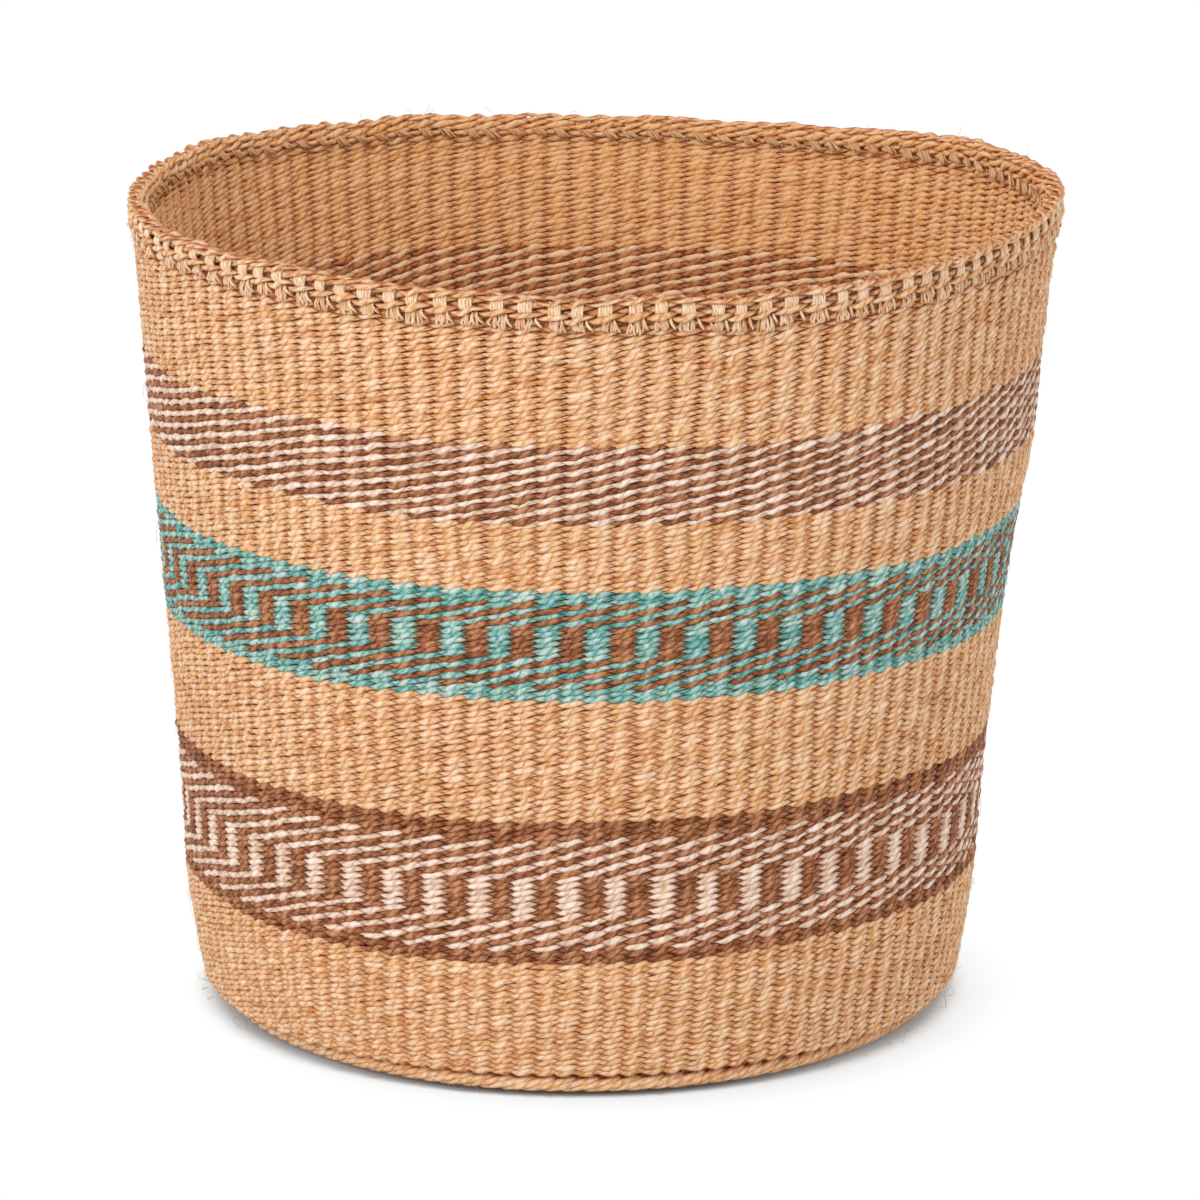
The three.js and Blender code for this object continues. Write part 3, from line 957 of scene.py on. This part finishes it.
def build_cut_ends():
    """Inside, where the warps were trimmed, there is a short brush for each, that leans to one side."""
    root_height = BASKET_HEIGHT - CUT_ROOT
    root_radius = reach("top_tan_band") - WALL_THICKNESS + 0.3
    run = np.linspace(0, 1, 4)
    paths = []
    for warp in range(WARPS):
        cut = CUT_LENGTH * random.normal(1, 0.16)
        middle = warp + random.normal(0, 0.05)
        for aside in random.uniform(-CUT_WIDTH / 2, CUT_WIDTH / 2, CUT_FIBRES):
            across = random.uniform(0, 1)
            height = root_height - cut * random.normal(1, 0.08) * run
            radius = root_radius - CUT_DEPTH * across * (0.6 + 0.7 * run)
            place = middle + aside * (1 + 0.15 * run) + random.normal(CUT_LEAN, 0.02) * run
            paths.append(placed(warp_angle(place, height), height, radius))
    # The cut fibres get painted shade, strongest at their roots and none at their tips
    piece = yarns("rim_cut_ends", "sisal_tan", np.stack(paths), CUT_FIBRE_RADIUS, CUT_FIBRE_RADIUS,
                  upward=along_wall(CUT_FIBRES), sides=4, is_closed=False,
                  shade=random.normal(CUT_SHADE, STRAND_SHADE, (len(paths), 1)), hollow=0.4 * (1 - run))
    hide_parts("rim_trimmed_ends")


def build_loose_ends():
    """Beside each knob a pale strand comes down from the cord and slants into the hole."""
    wall = reach("top_tan_band")
    paths = []
    for warp in range(WARPS):
        place = warp + LOOSE_END_PLACE + random.normal(0, 0.04) + LOOSE_END_ASIDE
        height = BASKET_HEIGHT - LOOSE_END_ROOT - random.normal(1, 0.1) * LOOSE_END_DROP
        radius = wall + random.normal(0, 0.15) + LOOSE_END_OUT
        paths.append(placed(warp_angle(place, height), height, radius))
    shade = random.normal(0, LOOSE_END_SHADE, (WARPS, 1))
    piece = yarns("rim_loose_ends", "sisal_pale", np.stack(paths), LOOSE_END_RADIUS, LOOSE_END_RADIUS,
                  upward=along_wall(), is_closed=False, shade=shade, hollow=LOOSE_END_PAINTED_SHADE)
    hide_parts("rim_trimmed_ends")


# Loose fibres

FIBRE_RADIUS = 0.07
FIBRE_ROOT = 0.3                # how deep in the wall a fibre begins
FIBRE_STEPS = 9


def loose_fibres(name, count, heights, lengths, stands_out, curl, inside_share=0.25):
    """Hairs that stand off the yarn: they leave it at a slant and bend back."""
    paths = []
    for _ in range(count):
        angle = random.uniform(0, 2 * math.pi)
        height = random.uniform(*heights)
        length = random.uniform(*lengths)
        heading = random.uniform(0, 2 * math.pi)
        bend = random.normal(0, curl)
        is_inside = random.uniform() < inside_share
        run = np.linspace(0, 1, FIBRE_STEPS)
        turn = heading + bend * run
        aside = np.cumsum(np.cos(turn)) * length / FIBRE_STEPS
        climb = np.cumsum(np.sin(turn)) * length / FIBRE_STEPS
        off = stands_out * random.uniform(0.3, 1.0) * np.sin(run * random.uniform(1.2, 3.0))
        surface = wall_radius(height) + (FIBRE_ROOT - WALL_THICKNESS if is_inside else -FIBRE_ROOT)
        radius = surface + (-off if is_inside else off)
        level = np.clip(height + climb, FIBRE_RADIUS, BASKET_HEIGHT + 4)
        paths.append(placed(angle + aside / surface, level, radius))
    yarns(name, "sisal_pale", np.stack(paths), FIBRE_RADIUS, FIBRE_RADIUS, upward=(0.31, 0.22, 0.92),
          sides=3, is_closed=False)


build_warps()
build_base_rounds("base_inner_rounds", KNOT_RADIUS, reach("base_inner_rounds"))
build_base_rounds("base_outer_rounds", reach("base_inner_rounds"), BASE_EDGE + BASE_OUT)
build_start_knot()
build_heel()
build_wall()
build_rim_rows()
build_rim_folds()
build_knobs()
build_loose_ends()
build_cut_ends()
loose_fibres("wall_fibres", 700, heights=(WEAVE_BOTTOM, WEAVE_TOP), lengths=(4, 16),
             stands_out=1.6, curl=1.6)
loose_fibres("rim_fibres", 260, heights=(WEAVE_TOP, BASKET_HEIGHT), lengths=(3, 10),
             stands_out=2.4, curl=2)
loose_fibres("heel_fibres", 90, heights=(0.2, 7), lengths=(4, 13),
             stands_out=4, curl=2, inside_share=0)


# Floor and light

FLOOR_HALF_SIZE = 4.0           # metres
FLOOR_COLOUR = (0.88, 0.88, 0.88, 1)
FLOOR_ROUGHNESS = 0.9

# The floor's shadow has three parts: a dark line in front of the basket, a lighter one at its sides
# and a faint wide one at the front right. Each has its reach in metres, the direction from which the
# light that it lacks would come, and its tones from full shade to none
FRONT_SHADE = (0.01, (0, 0.35, 0.94), [
    (0.0, (62, 54, 50)),
    (0.35, (136, 128, 123)),
    (0.62, (242, 241, 240)),
    (0.72, (255, 255, 255)),
])
SIDE_SHADE = (0.014, (0, 0.2, 0.97), [
    (0.0, (130, 122, 118)),
    (0.35, (198, 194, 191)),
    (0.62, (244, 243, 242)),
    (0.8, (255, 255, 255)),
])
WIDE_SHADE = (0.05, (-0.3, 0.25, 0.9), [
    (0.0, (206, 203, 202)),
    (0.4, (242, 241, 241)),
    (0.62, (255, 255, 255)),
])
FRONT_SHADE_FROM = -0.105       # how far forward the dark line begins, and where it is full
FRONT_SHADE_FULL = -0.152


def seen_directly(nodes):
    """1 for what the camera sees, also in a gloss or through glass, and 0 for light on the object."""
    rays = nodes.add("ShaderNodeLightPath").outputs
    seen = rays["Is Camera Ray"]
    for ray in ("Is Glossy Ray", "Is Transmission Ray"):
        seen = nodes.math("MAXIMUM", seen, rays[ray])
    return seen


def shadow_tone(nodes, reach_of_shade, direction, tones):
    near = nodes.feed(nodes.add("ShaderNodeAmbientOcclusion", samples=16),
                      {"Distance": reach_of_shade, "Normal": nodes.vector(*direction)})
    return nodes.ramp(near["AO"], tones)


def add_floor():
    """A white floor with a soft shadow where the basket stands near it."""
    half = FLOOR_HALF_SIZE
    mesh = bpy.data.meshes.new("floor")
    corners = [(-half, -half, 0), (half, -half, 0), (half, half, 0), (-half, half, 0)]
    mesh.from_pydata(corners, [], [(0, 1, 2, 3)])
    floor = add_object("floor", mesh)
    nodes = Nodes(bpy.data.materials.new("floor_white"))
    nodes.feed(nodes.surface, {"Base Color": FLOOR_COLOUR, "Roughness": FLOOR_ROUGHNESS})
    place = nodes.split(nodes.add("ShaderNodeNewGeometry").outputs["Position"])
    reach_in_front = {"Value": place["Y"], "From Min": FRONT_SHADE_FROM, "From Max": FRONT_SHADE_FULL}
    in_front = nodes.feed(nodes.add("ShaderNodeMapRange"), reach_in_front)
    close = nodes.mix("MIX", in_front["Result"], shadow_tone(nodes, *SIDE_SHADE),
                      shadow_tone(nodes, *FRONT_SHADE))
    colour = nodes.mix("MULTIPLY", 1, close, shadow_tone(nodes, *WIDE_SHADE))
    white = nodes.feed(nodes.add("ShaderNodeEmission"), {"Color": colour})
    choice = nodes.feed(nodes.add("ShaderNodeMixShader"),
                        {0: seen_directly(nodes), 1: nodes.surface.outputs["BSDF"], 2: white["Emission"]})
    nodes.feed(nodes.tree.nodes["Material Output"], {"Surface": choice["Shader"]})
    mesh.materials.append(nodes.owner)


WORLD_STRENGTH = 0.9
KEY_POWER = 36                  # watts
KEY_SIZE = 1.6                  # metres, and so are the places
KEY_PLACE = (-1.4, -2.3, 2.1)
KEY_AIM = (0, 0, 0.12)


def add_light():
    nodes = Nodes(bpy.data.worlds.new("studio"))
    strength = nodes.feed(nodes.add("ShaderNodeMapRange"),
                          {"Value": seen_directly(nodes), "To Min": WORLD_STRENGTH, "To Max": 1})
    nodes.feed(nodes.tree.nodes["Background"], {"Color": (1, 1, 1, 1), "Strength": strength["Result"]})
    bpy.context.scene.world = nodes.owner
    data = bpy.data.lights.new("key", "AREA")
    data.shape = "DISK"
    data.size = KEY_SIZE
    data.energy = KEY_POWER
    key = add_object("key", data)
    key.location = KEY_PLACE
    key.rotation_euler = (Vector(KEY_AIM) - key.location).to_track_quat("-Z", "Y").to_euler()


add_floor()
add_light()
bpy.context.scene.view_settings.view_transform = "Standard"
